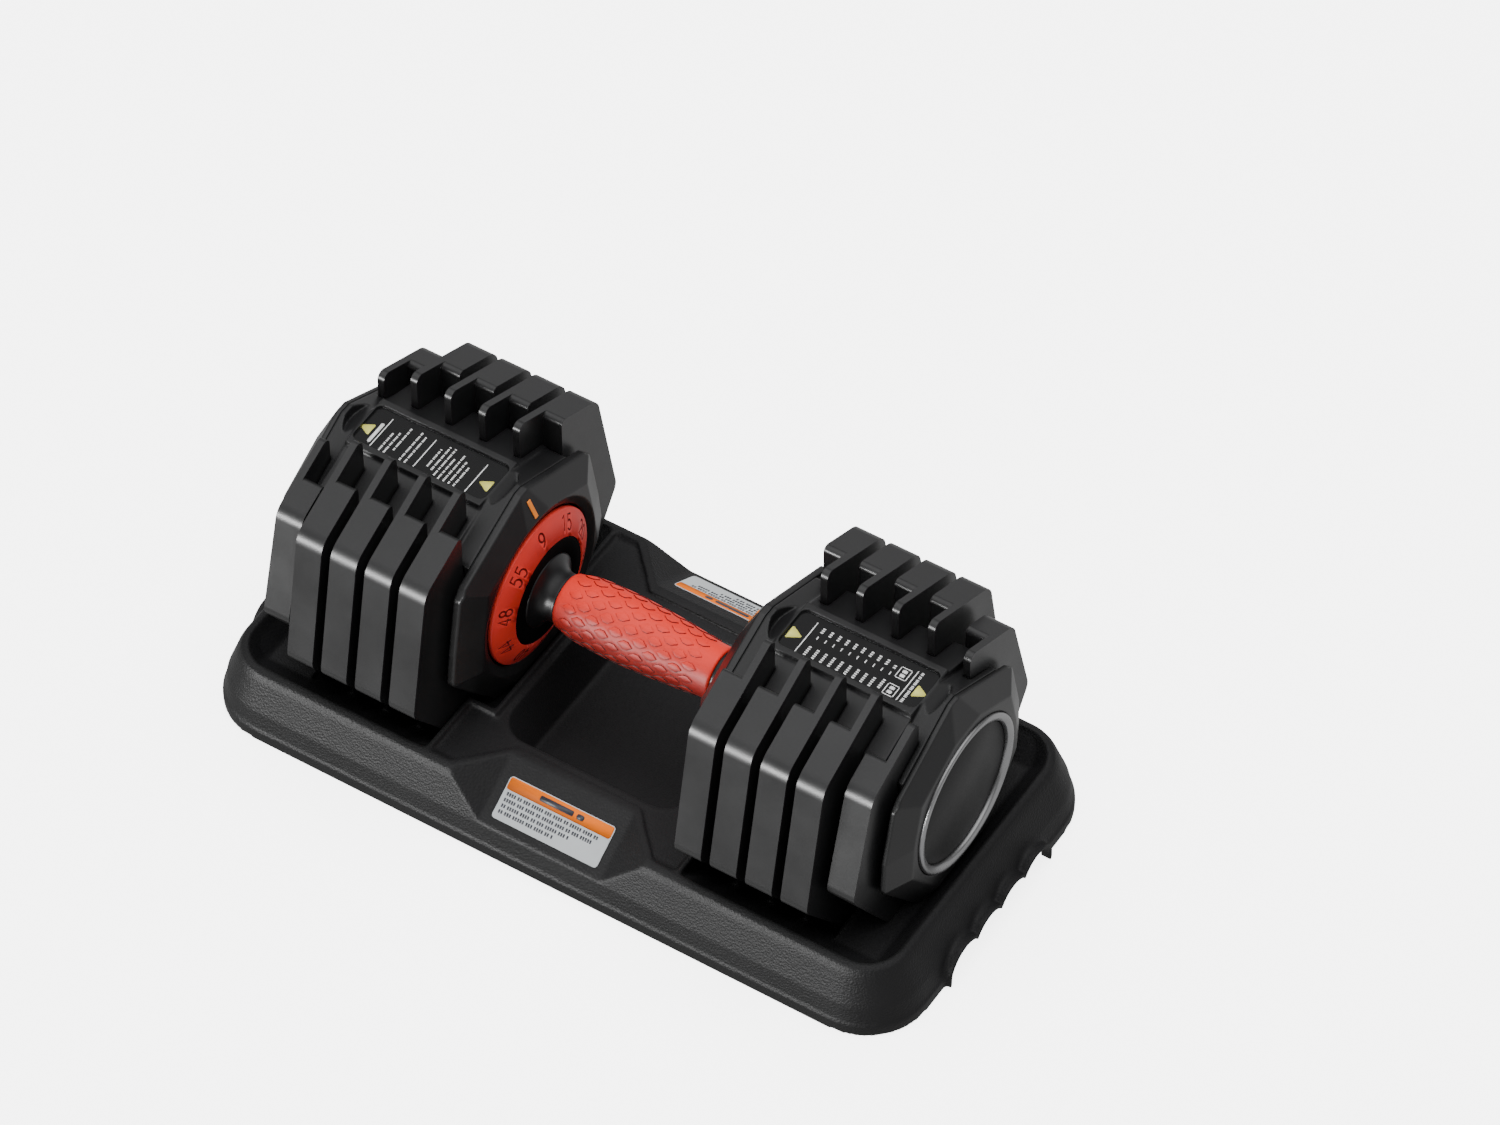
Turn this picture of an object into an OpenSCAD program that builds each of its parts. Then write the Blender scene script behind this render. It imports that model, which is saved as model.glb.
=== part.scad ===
// Adjustable dumbbell resting in its storage tray.
// X runs along the handle, Y from front (-) to rear (+), Z up. Millimetres.
// The origin is the middle of the tray's underside.

/* [Tray] */
// half length of the tray skirt
tray_hx = 215; // [180:0.5:240]
// half width of the tray skirt
tray_hy = 105; // [90:0.5:120]
// corner radius of the tray skirt
tray_rc = 36; // [15:0.5:50]
// wall thickness of the moulded tray
tray_wall = 3; // [2:0.1:5]
// height of the flat deck of the tray
deck_z = 38.5; // [30:0.5:50]

/* [Handle] */
// height of the handle axis above the base
axis_z = 90; // [80:0.5:110]
// half length of the rubber grip
grip_hx = 47.6; // [40:0.2:60]
// grip radius at its ends
grip_r_end = 15; // [13:0.1:18]
// grip radius where it is fattest
grip_r_mid = 18.2; // [15:0.1:22]
// distance from the middle to the face of each inner housing
dial_x = 64.2; // [55:0.1:80]
// distance from the middle to each dial hub, which stands proud of the housing
hub_x = 58.8; // [54:0.1:64]
// outer radius of the numbered dial ring
dial_r = 45; // [35:0.1:50]
// inner radius of the numbered dial ring
hub_r = 31; // [20:0.1:35]

/* [Weight plates] */
// inner face of the first plate, from the middle
plate_x = 79.7; // [75:0.1:90]
// thickness of one plate
plate_t = 15.75; // [10:0.05:20]
// distance from one plate to the next
plate_pitch = 21.2; // [18:0.05:26]
// thickness of the thin flange on each plate
flange_t = 4; // [3:0.1:8]
// half width of the flange slot
flange_slot = 24.7; // [20:0.1:35]
// half width of the wide slot at its top
wide_slot = 46.3; // [40:0.1:50]
// radius of the wide slot at its bottom
wide_slot_r = 41; // [36:0.1:46]

/* [Housing] */
// outer end of the silver end ring
ring_x = 195.9; // [185:0.1:205]
// outer radius of the end ring
ring_r = 45.4; // [35:0.1:50]
// radius of the steel centre rod
rod_r = 7; // [5:0.1:9]
// outer radius of the turning tube
tube_r = 11.5; // [9:0.1:14]
// radius of the selector discs
disc_r = 35.5; // [30:0.1:38]

/* [Hidden] */
// slope of the top faces of the plates, rise over run
top_slope = 0.445;
// face of the bridge next to the inner housing
bridge_x0 = 76.3;
// face of the bridge next to the end cap
bridge_x1 = 183.8;
// ends of the raised rim round the top label
rim_x0 = 88;
rim_x1 = 172;
// ridge line of the inner housing
ridge_x = 72.3;
// ridge line of the end cap
cap_ridge_x = 186.5;
// flat end of the end cap
cap_face_x = 194.2;
// radius where the housing facets start
facet_r = 52;
// radius where the end cap facets start
cap_facet_r = 50;
// shared fineness of round shapes
$fn = 72;

// ---- helpers ----

// flat shape in the Y-Z plane about the handle axis, extruded along +X
module slab(x0, t)
  translate([x0, 0, axis_z])
    rotate([90, 0, 90])
      linear_extrude(height = t)
        children();

// turned shape about the handle axis: children use (radius, distance along X)
module lathe()
  translate([0, 0, axis_z])
    rotate([0, 90, 0])
      rotate_extrude($fn = 72)
        children();

// plain ring about the handle axis
module ring(x0, x1, r0, r1)
  translate([x0, 0, axis_z])
    rotate([0, 90, 0])
      difference() {
        cylinder(h = x1 - x0, r = r1);
        translate([0, 0, -1])
          cylinder(h = x1 - x0 + 2, r = r0);
      }

// solid disc about the handle axis
module disc(x0, x1, r)
  translate([x0, 0, axis_z])
    rotate([0, 90, 0])
      cylinder(h = x1 - x0, r = r);

// length of the corner cut of a rounded corner
function cut_len(p, a, b, r) =
  let (u = (a - p) / norm(a - p), v = (b - p) / norm(b - p))
  r * sqrt((1 + u * v) / (1 - u * v));

// centre of a rounded corner
function cut_mid(p, a, b, r) =
  let (u = (a - p) / norm(a - p), v = (b - p) / norm(b - p), w = (u + v) / norm(u + v))
  p + w * r / sqrt((1 - u * v) / 2);

// the two cut points of a rounded corner, or the corner itself
function cut_pts(p, a, b, r) =
  r <= 0 ? [p] :
  let (u = (a - p) / norm(a - p), v = (b - p) / norm(b - p), c = cut_len(p, a, b, r))
  [p + u * c, p + v * c];

// convex outline with a radius at each corner
module round_outline(pts, rads) {
  n = len(pts);
  polygon([
    for (i = [0 : n - 1])
      for (q = cut_pts(pts[i], pts[(i + n - 1) % n], pts[(i + 1) % n], rads[i])) q
  ]);
  for (i = [0 : n - 1])
    if (rads[i] > 0)
      translate(cut_mid(pts[i], pts[(i + n - 1) % n], pts[(i + 1) % n], rads[i]))
        circle(r = rads[i] - 0.02);
}

// box with sloping sides and rounded corners; half sizes are at its top
module drafted_box(hx, hy, rc, z0, z1, d) {
  translate([-(hx - rc), 0, 0])
    rotate([90, 0, 90])
      linear_extrude(height = 2 * (hx - rc))
        polygon([[-(hy - d), z0], [hy - d, z0], [hy, z1], [-hy, z1]]);
  translate([0, hy - rc, 0])
    rotate([90, 0, 0])
      linear_extrude(height = 2 * (hy - rc))
        polygon([[-(hx - d), z0], [hx - d, z0], [hx, z1], [-hx, z1]]);
  for (sx = [-1, 1])
    for (sy = [-1, 1])
      translate([sx * (hx - rc), sy * (hy - rc), z0])
        cylinder(h = z1 - z0, r1 = rc - d, r2 = rc, $fn = 96);
}

// ---- tray ----

// outside of the tray, moved inwards by e
module tray_outside(e) {
  drafted_box(tray_hx - e, tray_hy - e, tray_rc - e, -1, 8, 0);
  drafted_box(tray_hx - 3 - e, tray_hy - 3 - e, tray_rc - 3 - e, 8, 19, -2.2);
  drafted_box(tray_hx - 9.4 - e, tray_hy - 9.4 - e, tray_rc - 9.4 - e, 19, 36.5, -6.4);
  drafted_box(tray_hx - 11.4 - e, tray_hy - 11.4 - e, tray_rc - 11.4 - e, 36.5, 40 - e, -2);
  if (e == 0)
    drafted_box(tray_hx - 14.4, tray_hy - 14.4, tray_rc - 14.4, 40, 41.3, -3);
}

// space in front of a sloped panel and its two side facets, moved inwards by e
module notch(e) {
  intersection() {
    translate([-100, -101.8, 20])
      rotate([32.2, 0, 0])
        translate([0, -40, -e])
          cube([200, 110, 60]);
    translate([60, -92.4, 41])
      rotate([42.6, 0, -46.7])
        translate([-150, -150, -e])
          cube([300, 300, 100]);
    mirror([1, 0, 0])
      translate([60, -92.4, 41])
        rotate([42.6, 0, -46.7])
          translate([-150, -150, -e])
            cube([300, 300, 100]);
    translate([-100, -120, 10])
      cube([200, 80, 60]);
  }
}

// hand well between the two ends, moved outwards by e
module hand_well(e)
  drafted_box(57 + e, 58.5 + e, 18 + e, 12 - e, 42, 13.5);

// dished pocket for one stack of plates, moved outwards by e
module plate_pocket(e)
  intersection() {
    rotate([90, 0, 90])
      linear_extrude(height = 260)
        polygon([
          [-58.2 - e, 14 - e], [58.2 + e, 14 - e], [89 + e, 40],
          [89 + e, 46], [-89 - e, 46], [-89 - e, 40]
        ]);
    translate([0, 100, 0])
      rotate([90, 0, 0])
        linear_extrude(height = 200)
          polygon([
            [78.5 - e, 46], [78.5 - e, 14 - e], [161.8 + e, 14 - e], [161.8 + e, 28 - e],
            [188.5 + e, 28 - e], [200 + e, 40], [200 + e, 46]
          ]);
    drafted_box(tray_hx - 15 + e, tray_hy - 15 + e, tray_rc - 15 + e, 10, 42, 20.8);
  }

// opening for the lower edge of one inner housing, moved outwards by e
module housing_pocket(e)
  translate([62.3 - e, 0, 0])
    rotate([90, 0, 90])
      linear_extrude(height = 20 + e)
        polygon([
          [-38 - e, 25 - e], [38 + e, 25 - e], [48 + e, 38.5],
          [48 + e, 46], [-48 - e, 46], [-48 - e, 38.5]
        ]);

// rib between two neighbouring plates
module pocket_rib(x)
  translate([x - 1.5, 0, 0])
    rotate([90, 0, 90])
      linear_extrude(height = 3)
        polygon([[-70, 12], [70, 12], [66, 27], [-66, 27]]);

// finger opening with four scallops, grown by e
module finger_cut(e, x0, x1) {
  for (y = [-35.25, -11.75, 11.75, 35.25])
    translate([x0, y, 4.5])
      rotate([0, 90, 0])
        cylinder(h = x1 - x0, r = 13.5 + e);
  translate([x0, -48.75 - e, e > 0 ? 0 : -2])
    cube([x1 - x0, 97.5 + 2 * e, e > 0 ? 4.5 : 6.5]);
}

// raised lip round the finger opening
module finger_lip()
  difference() {
    intersection() {
      finger_cut(2.2, 205, 218.4);
      translate([200, -60, 0])
        cube([30, 120, 30]);
    }
    tray_outside(1.5);
  }

module tray_shell()
  color([0.13, 0.13, 0.14])
  difference() {
    union() {
      difference() {
        tray_outside(0);
        difference() {
          tray_outside(tray_wall);
          translate([-300, -300, deck_z - tray_wall])
            cube([600, 600, 40]);
        }
        drafted_box(tray_hx - 15, tray_hy - 15, tray_rc - 15, deck_z, 42, 4);
        translate([-300, -300, -20])
          cube([600, 600, 20]);
      }
      intersection() {
        tray_outside(0);
        union() {
          notch(tray_wall);
          mirror([0, 1, 0])
            notch(tray_wall);
        }
      }
      intersection() {
        hand_well(tray_wall);
        translate([-100, -100, 0])
          cube([200, 200, deck_z]);
      }
      for (s = [0, 1])
        mirror([s, 0, 0]) {
          intersection() {
            union() {
              plate_pocket(tray_wall);
              housing_pocket(tray_wall);
            }
            tray_outside(0);
          }
          finger_lip();
        }
      for (sx = [-1, 1])
        for (sy = [-1, 1])
          translate([sx * 189, sy * 85, 3])
            cylinder(h = deck_z - 4, r = 7);
    }
    notch(0);
    mirror([0, 1, 0])
      notch(0);
    hand_well(0);
    for (s = [0, 1])
      mirror([s, 0, 0]) {
        difference() {
          plate_pocket(0);
          for (i = [0 : 3])
            pocket_rib(plate_x + plate_t + i * plate_pitch + 2.725);
        }
        housing_pocket(0);
        finger_cut(0, 190, 225);
      }
    difference() {
      drafted_box(tray_hx + 1, tray_hy + 1, tray_rc + 1, 7.6, 8.2, 0);
      drafted_box(tray_hx - 0.7, tray_hy - 0.7, tray_rc - 0.7, 7, 9, 0);
      translate([-300, -52, 0])
        cube([600, 104, 20]);
    }
  }

module tray_feet()
  color([0.05, 0.05, 0.05])
  for (sx = [-1, 1])
    for (sy = [-1, 1])
      translate([sx * 189, sy * 85, 0])
        cylinder(h = 3, r = 10);

// one rectangular label on the sloped panel
module panel_label()
  translate([0, -101.8, 20])
    rotate([32.2, 0, 0])
      translate([0, 17.4, 0])
        linear_extrude(height = 0.4)
          round_outline([[-32.5, -11.9], [32.5, -11.9], [32.5, 11.9], [-32.5, 11.9]], [2, 2, 2, 2]);

module tray_labels()
  color([0.9, 0.55, 0.2]) {
    panel_label();
    mirror([0, 1, 0])
      panel_label();
  }

// ---- weight plates ----

// outline of a large plate
module big_outline()
  round_outline(
    [[-54.2, -76], [54.2, -76], [95.7, -20], [80, 60.5], [24.7, 60.5 + 55.3 * top_slope],
     [-24.7, 60.5 + 55.3 * top_slope], [-80, 60.5], [-95.7, -20]],
    [9, 9, 9, 13, 0, 0, 13, 9]);

// outline of a small plate
module small_outline()
  round_outline(
    [[-50, -62], [50, -62], [85.5, -8], [68, 55], [24.7, 55 + 43.3 * top_slope],
     [-24.7, 55 + 43.3 * top_slope], [-68, 55], [-85.5, -8]],
    [9, 9, 9, 12, 0, 0, 12, 9]);

// wide open-topped slot
module wide_slot_shape() {
  polygon([[-wide_slot, 110], [-wide_slot, 50], [-wide_slot_r, 0], [wide_slot_r, 0],
    [wide_slot, 50], [wide_slot, 110]]);
  circle(r = wide_slot_r);
}

// narrow open-topped slot in the flange
module flange_slot_shape() {
  polygon([[-flange_slot, 110], [-flange_slot, 0], [flange_slot, 0], [flange_slot, 110]]);
  circle(r = flange_slot);
}

// core of a large plate, grown by e
module big_core_shape(e)
  difference() {
    polygon([
      [-50 - e, -72 - e], [50 + e, -72 - e], [90 + e, -19], [75 + e, 53 + e],
      [55 - e, 60 + e], [-55 + e, 60 + e], [-75 - e, 53 + e], [-90 - e, -19]
    ]);
    polygon([[-55 + e, 70], [-48 + e, 0], [48 - e, 0], [55 - e, 70]]);
    circle(r = 48 - e);
  }

// core of a small plate, grown by e
module small_core_shape(e)
  difference() {
    polygon([
      [-46 - e, -58 - e], [46 + e, -58 - e], [80 + e, -8], [64 + e, 48 + e],
      [53 - e, 52 + e], [-53 + e, 52 + e], [-64 - e, 48 + e], [-80 - e, -8]
    ]);
    polygon([[-53 + e, 70], [-46.5 + e, 0], [46.5 - e, 0], [53 - e, 70]]);
    circle(r = 46.5 - e);
  }

// moulded cover of one large plate, number k from the handle
module big_plate(k) {
  x0 = plate_x + (k - 1) * plate_pitch;
  difference() {
    union() {
      slab(x0, plate_t)
        difference() {
          big_outline();
          wide_slot_shape();
        }
      slab(x0 + plate_t - flange_t, flange_t)
        difference() {
          big_outline();
          flange_slot_shape();
        }
      lift_lug(x0);
    }
    slab(x0 + 2.4, plate_t - 4.8)
      big_core_shape(0.1);
  }
}

// moulded cover of the small outer plate
module small_plate() {
  x0 = plate_x + 4 * plate_pitch;
  difference() {
    union() {
      slab(x0, plate_t)
        difference() {
          small_outline();
          wide_slot_shape();
        }
      slab(x0 + plate_t - flange_t, flange_t)
        difference() {
          small_outline();
          flange_slot_shape();
        }
      lift_lug(x0);
    }
    slab(x0 + 2.4, plate_t - 4.8)
      small_core_shape(0.1);
  }
}

// lug on the flange that the selector lip carries
module lift_lug(x0)
  slab(x0 + 6.5, plate_t - 6.5)
    polygon([[-6, -31.5], [6, -31.5], [6, -26.5], [-6, -26.5]]);

module big_core(k)
  slab(plate_x + (k - 1) * plate_pitch + 2.5, plate_t - 5)
    big_core_shape(0);

module small_core()
  slab(plate_x + 4 * plate_pitch + 2.5, plate_t - 5)
    small_core_shape(0);

module right_plate_1() color([0.19, 0.19, 0.2]) big_plate(1);
module right_plate_2() color([0.19, 0.19, 0.2]) big_plate(2);
module right_plate_3() color([0.19, 0.19, 0.2]) big_plate(3);
module right_plate_4() color([0.19, 0.19, 0.2]) big_plate(4);
module right_plate_5() color([0.19, 0.19, 0.2]) small_plate();
module left_plate_1() color([0.19, 0.19, 0.2]) mirror([1, 0, 0]) big_plate(1);
module left_plate_2() color([0.19, 0.19, 0.2]) mirror([1, 0, 0]) big_plate(2);
module left_plate_3() color([0.19, 0.19, 0.2]) mirror([1, 0, 0]) big_plate(3);
module left_plate_4() color([0.19, 0.19, 0.2]) mirror([1, 0, 0]) big_plate(4);
module left_plate_5() color([0.19, 0.19, 0.2]) mirror([1, 0, 0]) small_plate();
module right_core_1() color([0.4, 0.4, 0.42]) big_core(1);
module right_core_2() color([0.4, 0.4, 0.42]) big_core(2);
module right_core_3() color([0.4, 0.4, 0.42]) big_core(3);
module right_core_4() color([0.4, 0.4, 0.42]) big_core(4);
module right_core_5() color([0.4, 0.4, 0.42]) small_core();
module left_core_1() color([0.4, 0.4, 0.42]) mirror([1, 0, 0]) big_core(1);
module left_core_2() color([0.4, 0.4, 0.42]) mirror([1, 0, 0]) big_core(2);
module left_core_3() color([0.4, 0.4, 0.42]) mirror([1, 0, 0]) big_core(3);
module left_core_4() color([0.4, 0.4, 0.42]) mirror([1, 0, 0]) big_core(4);
module left_core_5() color([0.4, 0.4, 0.42]) mirror([1, 0, 0]) small_core();

// ---- carrier frame ----

// half space behind one sloping facet: a is the edge's angle from +Y, d its distance
// at x_out, r its distance at x_in; the removed side is in front of the plane
module facet_cut(a, d, r, x_out, x_in)
  translate([0, 0, axis_z])
    rotate([a, 0, 0])
      translate([x_out, d, 0])
        rotate([0, 0, atan2(r - d, x_in - x_out)])
          translate([-60, x_in > x_out ? 0 : -60, -150])
            cube([120, 60, 300]);

// outline of the inner housing
module housing_outline()
  round_outline(
    [[-34, -62], [34, -62], [70, -16], [67.5, 4], [60.5, 41], [55.5, 46.8], [3.5, 68.4],
     [-3.5, 68.4], [-55.5, 46.8], [-60.5, 41], [-67.5, 4], [-70, -16]],
    [8, 8, 6, 0, 3, 3, 1.5, 1.5, 3, 3, 0, 6]);

// outline of the end cap
module cap_outline()
  round_outline(
    [[-33, -60], [33, -60], [66, -17], [65, 4], [57, 37], [52, 42.5], [3.5, 67.5],
     [-3.5, 67.5], [-52, 42.5], [-57, 37], [-65, 4], [-66, -17]],
    [8, 8, 6, 0, 3, 3, 1.5, 1.5, 3, 3, 0, 6]);

// facets of the inner housing, as material to remove
module housing_facets() {
  for (s = [0, 1])
    mirror([0, s, 0]) {
      facet_cut(67.4, 64.5, facet_r, ridge_x, dial_x);
      facet_cut(10.7, 67.1, facet_r, ridge_x, dial_x);
      facet_cut(7.1, 67.5, facet_r, ridge_x, dial_x);
      facet_cut(-38, 65, facet_r, ridge_x, dial_x);
    }
  facet_cut(90, 68.4, facet_r, ridge_x, dial_x);
  facet_cut(-90, 62, facet_r, ridge_x, dial_x);
}

// facets of the end cap, as material to remove
module cap_facets() {
  for (s = [0, 1])
    mirror([0, s, 0]) {
      facet_cut(62.8, 61.6, cap_facet_r, cap_ridge_x, cap_face_x);
      facet_cut(13.6, 64.1, cap_facet_r, cap_ridge_x, cap_face_x);
      facet_cut(2.7, 65.1, cap_facet_r, cap_ridge_x, cap_face_x);
      facet_cut(-37.5, 62.7, cap_facet_r, cap_ridge_x, cap_face_x);
    }
  facet_cut(90, 67.5, cap_facet_r, cap_ridge_x, cap_face_x);
  facet_cut(-90, 60, cap_facet_r, cap_ridge_x, cap_face_x);
}

module housing()
  difference() {
    slab(dial_x, bridge_x0 - dial_x)
      housing_outline();
    housing_facets();
    lathe()
      polygon([[0, dial_x - 1], [52.2, dial_x - 1], [51.6, dial_x], [46.2, dial_x + 2.2],
        [46.2, dial_x + 8], [0, dial_x + 8]]);
    disc(dial_x, bridge_x0 + 1, 14.6);
  }

// cross-section of the bridge between the housings
module bridge_shape()
  difference() {
    polygon([
      [-39.6, 0], [-45.2, 50.5], [-43.5, 54], [-18.2, 63], [-17.4, 66], [17.4, 66],
      [18.2, 63], [43.5, 54], [45.2, 50.5], [39.6, 0]
    ]);
    circle(r = 36.8);
  }

// cross-section of the roofed shoulder at the hand end of the bridge
module hand_shoulder_shape()
  difference() {
    polygon([
      [-39.6, 0], [-45.2, 50.5], [-43.6, 51.8], [-3.5, 68.4], [3.5, 68.4],
      [43.6, 51.8], [45.2, 50.5], [39.6, 0]
    ]);
    circle(r = 36.8);
  }

// cross-section of the roofed shoulder at the outer end of the bridge
module outer_shoulder_shape()
  difference() {
    polygon([[-39.6, 0], [-44.7, 46.3], [-3.5, 67.5], [3.5, 67.5], [44.7, 46.3], [39.6, 0]]);
    circle(r = 36.8);
  }

// round-backed scoop that falls away from one end of the rim
module rim_scoop(rim_x, far_x) {
  back = far_x > rim_x ? -18.4 : 18.4;
  intersection() {
    translate([far_x + back, 0, axis_z])
      cylinder(h = 80, r = 18.4);
    translate([0, 40, axis_z])
      rotate([90, 0, 0])
        linear_extrude(height = 80)
          polygon([[rim_x, 66], [rim_x, 75], [far_x, 75], [far_x, 60.5]]);
  }
}

// bridge that carries the plates, with a slot for each flange
module bridge()
  difference() {
    union() {
      slab(rim_x0, rim_x1 - rim_x0)
        bridge_shape();
      slab(bridge_x0, rim_x0 - bridge_x0)
        hand_shoulder_shape();
      slab(rim_x1, bridge_x1 - rim_x1)
        outer_shoulder_shape();
    }
    rim_scoop(rim_x0, 79.4);
    rim_scoop(rim_x1, 181.2);
    for (k = [0 : 4])
      for (s = [0, 1])
        mirror([0, s, 0])
          translate([plate_x + k * plate_pitch + plate_t - flange_t - 0.35, flange_slot - 0.5, axis_z - 10])
            cube([flange_t + 0.7, 40, 100]);
    translate([0, 0, axis_z + 63.6])
      linear_extrude(height = 10)
        round_outline([[89, -13.5], [171, -13.5], [171, 13.5], [89, 13.5]], [4, 4, 4, 4]);
    translate([0, 0, axis_z])
      for (y = [-12, 12])
        translate([165, y, 38])
          rotate([0, 90, 0])
            cylinder(h = 30, r = 2.05, $fn = 24);
  }

module end_cap()
  difference() {
    slab(bridge_x1, cap_face_x - bridge_x1)
      cap_outline();
    cap_facets();
    lathe()
      polygon([[0, 191], [ring_r + 0.1, 191], [ring_r + 0.1, cap_face_x + 1], [0, cap_face_x + 1]]);
    disc(bridge_x1 - 1, 192, rod_r + 0.1);
    disc(186.4, 192, 14);
    for (y = [-12, 12])
      translate([180, y, axis_z + 38])
        rotate([0, 90, 0]) {
          cylinder(h = 20, r = 2.05, $fn = 24);
          translate([0, 0, 8])
            cylinder(h = 20, r = 3.6, $fn = 24);
        }
  }

module end_ring()
  lathe()
    polygon([[40.4, 191], [ring_r, 191], [ring_r, ring_x - 0.9], [ring_r - 0.9, ring_x],
      [43, ring_x], [40.4, 192.9]]);

module end_disc()
  disc(191, 192.7, 40.2);

module top_label()
  translate([0, 0, axis_z + 63.6])
    linear_extrude(height = 0.7)
      round_outline([[89.2, -13.3], [170.8, -13.3], [170.8, 13.3], [89.2, 13.3]], [3.8, 3.8, 3.8, 3.8]);

// one index mark lying on the top facet of a housing
module index_mark()
  translate([dial_x, 0, axis_z + facet_r])
    rotate([0, 26.28, 0])
      translate([-0.6, -1.4, 2])
        cube([0.9, 2.8, 11.2]);

module cap_screw_set()
  for (y = [-12, 12])
    translate([170, y, axis_z + 38])
      rotate([0, 90, 0]) {
        cylinder(h = 18.2, r = 2, $fn = 24);
        translate([0, 0, 18])
          cylinder(h = 2.6, r = 3.4, $fn = 24);
      }

module right_housing() color([0.09, 0.09, 0.1]) housing();
module left_housing() color([0.09, 0.09, 0.1]) mirror([1, 0, 0]) housing();
module right_bridge() color([0.11, 0.11, 0.12]) bridge();
module left_bridge() color([0.11, 0.11, 0.12]) mirror([1, 0, 0]) bridge();
module right_end_cap() color([0.09, 0.09, 0.1]) end_cap();
module left_end_cap() color([0.09, 0.09, 0.1]) mirror([1, 0, 0]) end_cap();
module right_end_ring() color([0.5, 0.5, 0.52]) end_ring();
module left_end_ring() color([0.5, 0.5, 0.52]) mirror([1, 0, 0]) end_ring();
module right_end_disc() color([0.12, 0.12, 0.13]) end_disc();
module left_end_disc() color([0.12, 0.12, 0.13]) mirror([1, 0, 0]) end_disc();
module right_top_label() color([0.05, 0.05, 0.06]) top_label();
module left_top_label() color([0.05, 0.05, 0.06]) mirror([1, 0, 0]) top_label();

module index_marks()
  color([0.95, 0.5, 0.12])
  for (s = [0, 1])
    mirror([s, 0, 0])
      difference() {
        index_mark();
        housing();
      }

module centre_rod()
  color([0.6, 0.6, 0.62])
  disc(-190.6, 190.6, rod_r);

module rod_nuts()
  color([0.6, 0.6, 0.62])
  for (s = [0, 1])
    mirror([s, 0, 0])
      difference() {
        translate([186.5, 0, axis_z])
          rotate([0, 90, 0])
            cylinder(h = 4, r = 12, $fn = 6);
        disc(185, 192, rod_r + 0.05);
      }

module tube_bushes()
  color([0.8, 0.78, 0.7])
  for (s = [0, 1])
    mirror([s, 0, 0])
      ring(72.4, bridge_x0 - 0.1, tube_r + 0.05, 14.5);

module cap_screws()
  color([0.5, 0.5, 0.52])
  for (s = [0, 1])
    mirror([s, 0, 0])
      cap_screw_set();

// ---- turning handle ----

module grip()
  color([0.85, 0.23, 0.18])
  lathe()
    difference() {
      polygon([
        [0, -grip_hx], [grip_r_end - 1, -grip_hx], [grip_r_end, -grip_hx + 1],
        [grip_r_mid - 1, -36], [grip_r_mid - 0.2, -22], [grip_r_mid, -10],
        [grip_r_mid - 0.5, 4], [grip_r_mid - 1.2, 16], [grip_r_mid - 2.3, 29],
        [grip_r_end + 0.1, 40], [grip_r_end, grip_hx - 1],
        [grip_r_end - 1, grip_hx], [0, grip_hx]
      ]);
      translate([-1, -60])
        square([tube_r + 1.05, 120]);
    }

module handle_tube()
  color([0.55, 0.55, 0.57])
  ring(0.4 - bridge_x1, bridge_x1 - 0.4, rod_r + 0.3, tube_r);

module collar()
  lathe()
    polygon([
      [tube_r + 0.05, grip_hx + 0.05], [grip_r_end - 1.4, grip_hx + 0.05],
      [grip_r_end - 1.2, 51], [grip_r_end + 0.6, 54.4], [grip_r_end + 3.6, 57.4],
      [grip_r_end + 7, hub_x + 0.1], [tube_r + 0.05, hub_x + 0.1]
    ]);

module dial_ring()
  lathe()
    polygon([[hub_r + 0.1, hub_x], [dial_r - 0.5, dial_x + 0.4], [dial_r, dial_x + 0.9],
      [dial_r, 68.2], [hub_r + 0.1, 68.2]]);

module dial_hub()
  lathe()
    polygon([[tube_r + 0.05, hub_x + 0.2], [hub_r - 0.4, hub_x + 0.2], [hub_r, hub_x + 0.6],
      [hub_r, 68.3], [44.4, 68.3], [44.4, 71.2], [tube_r + 0.05, 71.2]]);

// pie slice used to keep one lip of a selector disc
module pie(a)
  polygon([[0, 0], [60 * cos(a - 17), 60 * sin(a - 17)], [70 * cos(a), 70 * sin(a)],
    [60 * cos(a + 17), 60 * sin(a + 17)]]);

// dial positions at which each plate is carried, first plate first
carried = [
  [2, 3, 4, 6, 8, 9],
  [4, 5, 6, 7, 8, 9],
  [5, 6, 7, 8, 9],
  [7, 8, 9],
  [1, 3, 5, 7, 9]
];

// selector disc of plate number k
module selector_disc(k) {
  x0 = plate_x + k * plate_pitch;
  ring(x0 + 2, x0 + 5, tube_r + 0.05, disc_r);
  slab(x0 + 4.9, 4.6)
    intersection() {
      difference() {
        circle(r = disc_r);
        circle(r = disc_r - 2.6);
      }
      union()
        for (p = carried[k])
          pie(-90 - 36 * p);
    }
}

module selector_disc_set()
  for (k = [0 : 4])
    selector_disc(k);

module right_collar() color([0.1, 0.1, 0.11]) collar();
module left_collar() color([0.1, 0.1, 0.11]) mirror([1, 0, 0]) collar();
module right_dial_ring() color([0.86, 0.25, 0.2]) dial_ring();
module left_dial_ring() color([0.86, 0.25, 0.2]) mirror([1, 0, 0]) dial_ring();
module right_dial_hub() color([0.08, 0.08, 0.09]) dial_hub();
module left_dial_hub() color([0.08, 0.08, 0.09]) mirror([1, 0, 0]) dial_hub();
module right_selector_discs() color([0.6, 0.6, 0.62]) selector_disc_set();
module left_selector_discs() color([0.6, 0.6, 0.62]) mirror([1, 0, 0]) selector_disc_set();

module disc_spacers()
  color([0.3, 0.3, 0.32])
  for (s = [0, 1])
    mirror([s, 0, 0])
      for (k = [0 : 3])
        ring(plate_x + k * plate_pitch + 5.1, plate_x + (k + 1) * plate_pitch + 1.9, tube_r + 0.05, 14);

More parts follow.
